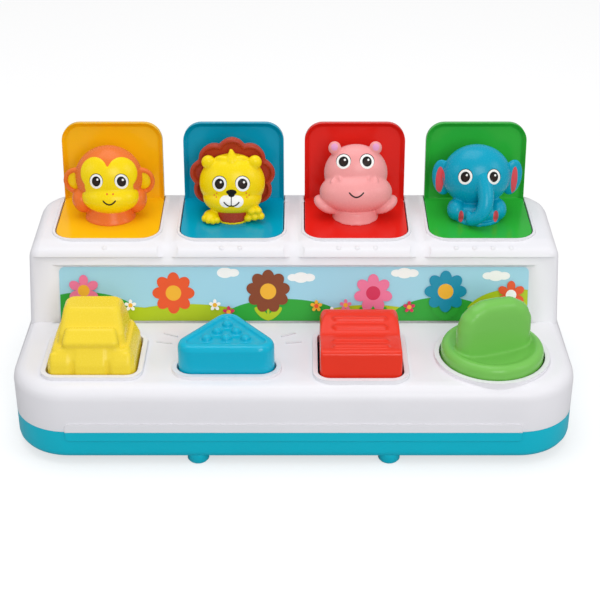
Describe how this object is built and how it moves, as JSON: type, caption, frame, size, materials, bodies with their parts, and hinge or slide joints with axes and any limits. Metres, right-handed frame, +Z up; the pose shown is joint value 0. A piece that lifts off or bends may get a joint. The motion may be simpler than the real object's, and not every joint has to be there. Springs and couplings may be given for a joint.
{
  "type": "pop up animal toy",
  "caption": "Two-level toddler toy: each shaped key on the front deck frees a sprung lid on the rear deck, and an animal head swings up with it.",
  "frame": {"origin": "middle of the bounding box at the bottom, on the table the feet stand on", "axes": "+X along the case, to the right as seen from the keys' side; +Y to the back; +Z up"},
  "size_m": [0.312, 0.1628, 0.1422],
  "materials": {
    "white_shell": "moulded, soft gloss",
    "teal_tray": "moulded, soft gloss",
    "label": "printed film, gloss",
    "steel": "zinc plated",
    "grey_lever": "moulded, matt",
    "yellow_lid": "moulded, soft gloss",
    "blue_lid": "moulded, soft gloss",
    "red_lid": "moulded, soft gloss",
    "green_lid": "moulded, soft gloss",
    "monkey_orange": "moulded, soft gloss",
    "face_yellow": "sprayed, soft gloss",
    "mane_brown": "sprayed, soft gloss",
    "lion_yellow": "moulded, soft gloss",
    "hippo_pink": "moulded, soft gloss",
    "elephant_blue": "moulded, soft gloss",
    "car_yellow": "moulded, soft gloss",
    "triangle_blue": "moulded, soft gloss",
    "rocker_red": "moulded, soft gloss",
    "knob_green": "moulded, soft gloss"
  },
  "bodies": {
    "case": {"top_shell": "white_shell", "base_tray": "teal_tray", "label_panel": "label", "case_screws": "steel", "hinge_pins": "steel", "lid_springs": "steel", "lever_pins": "steel", "lever_springs": "steel", "car_spring": "steel", "triangle_spring": "steel", "rocker_pin": "steel", "rocker_spring": "steel"},
    "monkey_popup": {"monkey_flap": "yellow_lid", "monkey_figure": "monkey_orange", "monkey_face": "face_yellow", "monkey_screw": "steel"},
    "lion_popup": {"lion_flap": "blue_lid", "lion_figure": "lion_yellow", "lion_mane": "mane_brown", "lion_screw": "steel"},
    "hippo_popup": {"hippo_flap": "red_lid", "hippo_figure": "hippo_pink", "hippo_screw": "steel"},
    "elephant_popup": {"elephant_flap": "green_lid", "elephant_figure": "elephant_blue", "elephant_screw": "steel"},
    "monkey_release": {"monkey_lever": "grey_lever"},
    "lion_release": {"lion_lever": "grey_lever"},
    "hippo_release": {"hippo_lever": "grey_lever"},
    "elephant_release": {"elephant_lever": "grey_lever"},
    "car_button": {"car_key": "car_yellow"},
    "triangle_button": {"triangle_key": "triangle_blue"},
    "rocker_button": {"rocker_key": "rocker_red"},
    "turning_button": {"turning_key": "knob_green"}
  },
  "joints": [
    {"name": "monkey_lid_hinge", "type": "hinge", "parent": "case", "child": "monkey_popup", "pos_m": [-0.1095, 0.06442, 0.0926], "axis": [1, 0, 0], "range_deg": [0, 101], "stiffness_Nm_per_rad": 0.012, "springref_deg": -68.75},
    {"name": "lion_lid_hinge", "type": "hinge", "parent": "case", "child": "lion_popup", "pos_m": [-0.0365, 0.06442, 0.0926], "axis": [1, 0, 0], "range_deg": [0, 101], "stiffness_Nm_per_rad": 0.012, "springref_deg": -68.75},
    {"name": "hippo_lid_hinge", "type": "hinge", "parent": "case", "child": "hippo_popup", "pos_m": [0.0365, 0.06442, 0.0926], "axis": [1, 0, 0], "range_deg": [0, 101], "stiffness_Nm_per_rad": 0.012, "springref_deg": -68.75},
    {"name": "elephant_lid_hinge", "type": "hinge", "parent": "case", "child": "elephant_popup", "pos_m": [0.1095, 0.06442, 0.0926], "axis": [1, 0, 0], "range_deg": [0, 101], "stiffness_Nm_per_rad": 0.012, "springref_deg": -68.75},
    {"name": "monkey_lever_pivot", "type": "hinge", "parent": "case", "child": "monkey_release", "pos_m": [-0.09755, 0.00537, 0.058], "axis": [1, 0, 0], "range_deg": [0, 4], "stiffness_Nm_per_rad": 0.06, "springref_deg": -8.59},
    {"name": "lion_lever_pivot", "type": "hinge", "parent": "case", "child": "lion_release", "pos_m": [-0.02385, 0.00537, 0.058], "axis": [1, 0, 0], "range_deg": [0, 4], "stiffness_Nm_per_rad": 0.06, "springref_deg": -8.59},
    {"name": "hippo_lever_pivot", "type": "hinge", "parent": "case", "child": "hippo_release", "pos_m": [0.04985, 0.00537, 0.058], "axis": [1, 0, 0], "range_deg": [0, 4], "stiffness_Nm_per_rad": 0.06, "springref_deg": -8.59},
    {"name": "elephant_lever_pivot", "type": "hinge", "parent": "case", "child": "elephant_release", "pos_m": [0.12355, 0.00537, 0.058], "axis": [1, 0, 0], "range_deg": [0, 4], "stiffness_Nm_per_rad": 0.06, "springref_deg": -8.59},
    {"name": "car_press", "type": "slide", "parent": "case", "child": "car_button", "axis": [0, 0, -1], "range_m": [0, 0.003], "stiffness_N_per_m": 250, "springref_m": -0.003, "deforming": ["car_spring"]},
    {"name": "triangle_press", "type": "slide", "parent": "case", "child": "triangle_button", "axis": [0, 0, -1], "range_m": [0, 0.003], "stiffness_N_per_m": 250, "springref_m": -0.003, "deforming": ["triangle_spring"]},
    {"name": "rocker_tilt", "type": "hinge", "parent": "case", "child": "rocker_button", "pos_m": [0.03685, -0.04662, 0.045], "axis": [1, 0, 0], "range_deg": [0, 10], "stiffness_Nm_per_rad": 0.06, "springref_deg": -11.46},
    {"name": "knob_turn", "type": "hinge", "parent": "case", "child": "turning_button", "pos_m": [0.11055, -0.04512, 0.049], "axis": [0, 0, 1], "range_deg": [0, 60]}
  ],
  "couplings": [
    {"joint": "monkey_lever_pivot", "follows": "car_press", "rad_per_m": 19},
    {"joint": "lion_lever_pivot", "follows": "triangle_press", "rad_per_m": 19},
    {"joint": "hippo_lever_pivot", "follows": "rocker_tilt", "ratio": 0.27},
    {"joint": "elephant_lever_pivot", "follows": "knob_turn", "ratio": 0.06}
  ]
}
